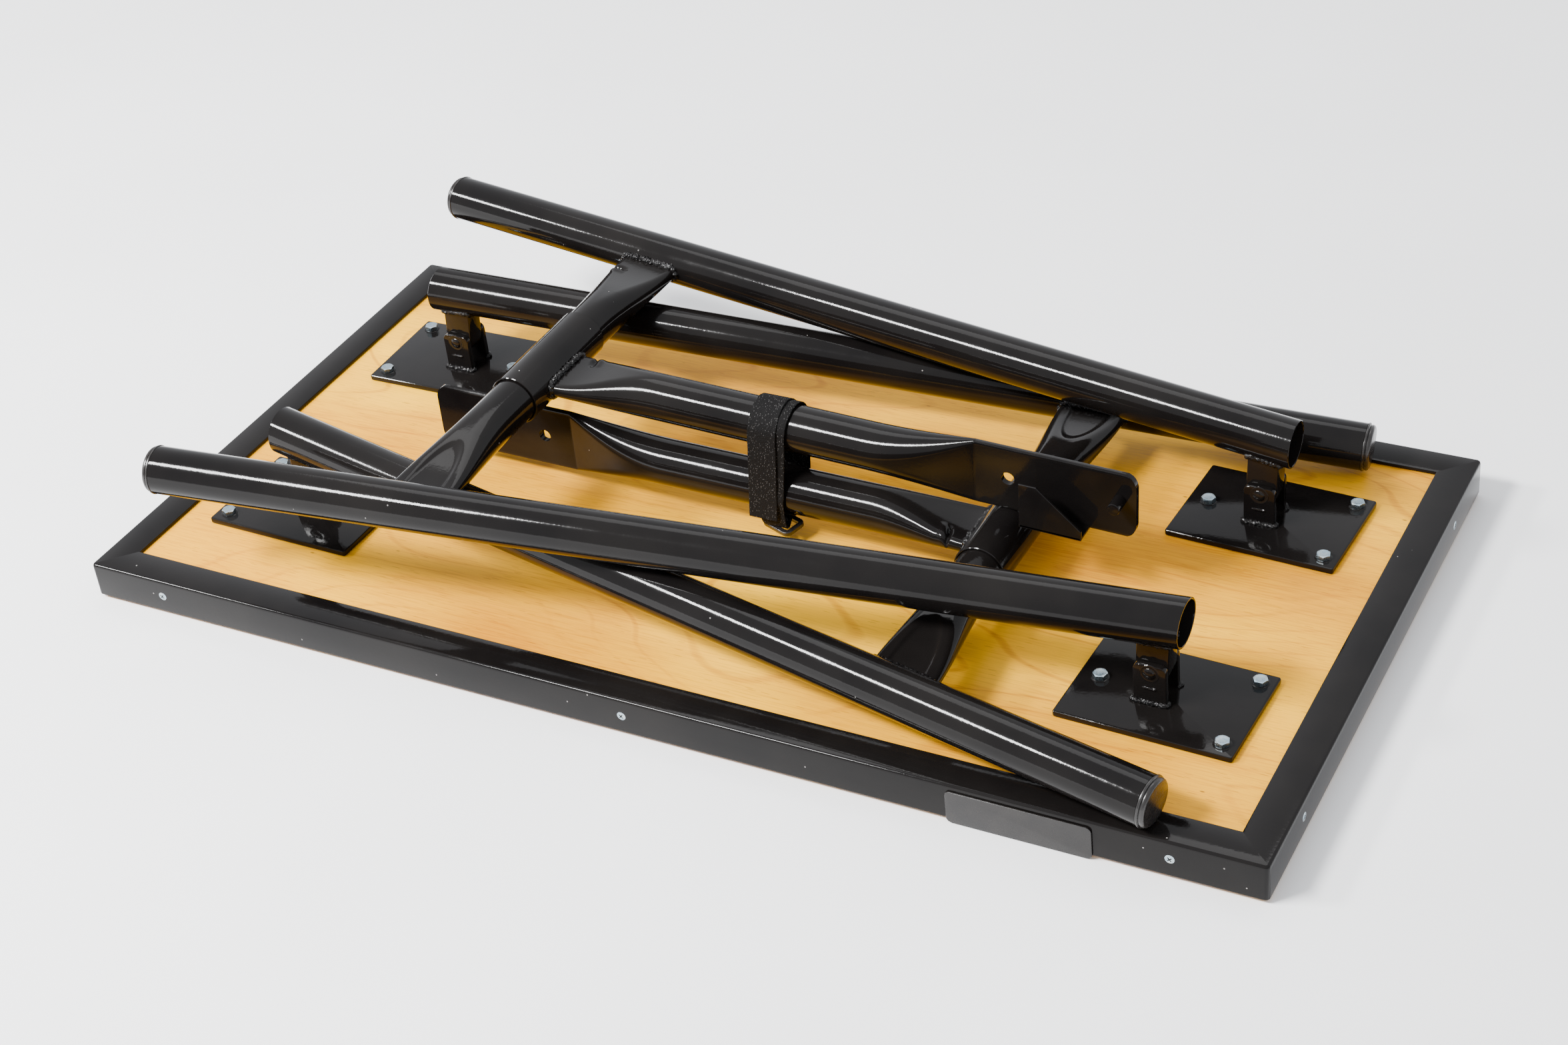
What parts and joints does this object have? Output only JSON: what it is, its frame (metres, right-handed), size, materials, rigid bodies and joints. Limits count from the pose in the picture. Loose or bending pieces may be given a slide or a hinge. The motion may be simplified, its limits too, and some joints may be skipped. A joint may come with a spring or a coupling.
{
  "type": "folding workbench",
  "caption": "Plywood worktop in a black steel angle frame, lying face down with its folding tube legs and their locking braces strapped flat on its underside.",
  "frame": {"origin": "centre of the plywood work face, which lies on the floor with the bench folded", "axes": "+X along the long side towards the hinges of the upper leg frame, +Y towards the rear long side, +Z away from the work face, towards the folded legs"},
  "size_m": [1, 0.5139, 0.1559],
  "materials": {
    "black_paint": "gloss",
    "plywood": "satin",
    "zinc": "zinc plated",
    "black_plastic": "gloss",
    "webbing": "woven"
  },
  "bodies": {
    "worktop": {"worktop_panel": "plywood", "front_rail": "black_paint", "right_rail": "black_paint", "rear_rail": "black_paint", "left_rail": "black_paint", "badge_plate": "black_plastic", "rail_screw_01": "zinc", "rail_screw_02": "zinc", "rail_screw_03": "zinc", "rail_screw_04": "zinc", "rail_screw_05": "zinc", "rail_screw_06": "zinc", "rail_screw_07": "zinc", "rail_screw_08": "zinc", "rail_screw_09": "zinc", "rail_screw_10": "zinc", "right_front_hinge_bracket": "black_paint", "right_front_plate_bolt_1": "zinc", "right_front_plate_bolt_2": "zinc", "right_front_plate_bolt_3": "zinc", "right_front_hinge_pin": "black_paint", "right_rear_hinge_bracket": "black_paint", "right_rear_plate_bolt_1": "zinc", "right_rear_plate_bolt_2": "zinc", "right_rear_plate_bolt_3": "zinc", "right_rear_hinge_pin": "black_paint", "left_front_hinge_bracket": "black_paint", "left_front_plate_bolt_1": "zinc", "left_front_plate_bolt_2": "zinc", "left_front_plate_bolt_3": "zinc", "left_front_hinge_pin": "black_paint", "left_rear_hinge_bracket": "black_paint", "left_rear_plate_bolt_1": "zinc", "left_rear_plate_bolt_2": "zinc", "left_rear_plate_bolt_3": "zinc", "left_rear_hinge_pin": "black_paint"},
    "right_leg_frame": {"right_leg_front_tube": "black_paint", "right_leg_front_stub": "black_paint", "right_leg_front_foot_cap": "black_plastic", "right_leg_rear_tube": "black_paint", "right_leg_rear_stub": "black_paint", "right_leg_rear_foot_cap": "black_plastic", "right_leg_crossbar": "black_paint"},
    "right_brace": {"right_brace_sleeve": "black_paint", "right_brace_bar": "black_paint", "right_brace_stud": "black_paint", "right_brace_catch": "black_paint"},
    "left_leg_frame": {"left_leg_front_tube": "black_paint", "left_leg_front_stub": "black_paint", "left_leg_front_foot_cap": "black_plastic", "left_leg_rear_tube": "black_paint", "left_leg_rear_stub": "black_paint", "left_leg_rear_foot_cap": "black_plastic", "left_leg_crossbar": "black_paint"},
    "left_brace": {"left_brace_sleeve": "black_paint", "left_brace_bar": "black_paint", "left_brace_stud": "black_paint", "left_brace_catch": "black_paint", "hook_and_loop_strap": "webbing", "strap_loop": "black_plastic"}
  },
  "joints": [
    {"name": "right_leg_hinge", "type": "hinge", "parent": "worktop", "child": "right_leg_frame", "pos_m": [0.366, 0, 0.062], "axis": [0, 1, 0], "range_deg": [0, 92.3], "deforming": ["hook_and_loop_strap"]},
    {"name": "right_brace_swivel", "type": "hinge", "parent": "right_leg_frame", "child": "right_brace", "pos_m": [-0.20181, -0.001, 0.12754], "axis": [0, 1, 0], "range_deg": [-274.2, 0]},
    {"name": "left_leg_hinge", "type": "hinge", "parent": "worktop", "child": "left_leg_frame", "pos_m": [-0.366, 0, 0.062], "axis": [0, -1, 0], "range_deg": [0, 98.5]},
    {"name": "left_brace_swivel", "type": "hinge", "parent": "left_leg_frame", "child": "left_brace", "pos_m": [0.20556, -0.01, 0.06643], "axis": [0, -1, 0], "range_deg": [-277.5, 0]}
  ],
  "couplings": [
    {"joint": "right_brace_swivel", "follows": "right_leg_hinge", "ratio": -2.967},
    {"joint": "left_leg_hinge", "follows": "right_leg_hinge", "ratio": 0.35},
    {"joint": "left_brace_swivel", "follows": "right_leg_hinge", "ratio": -0.85}
  ]
}
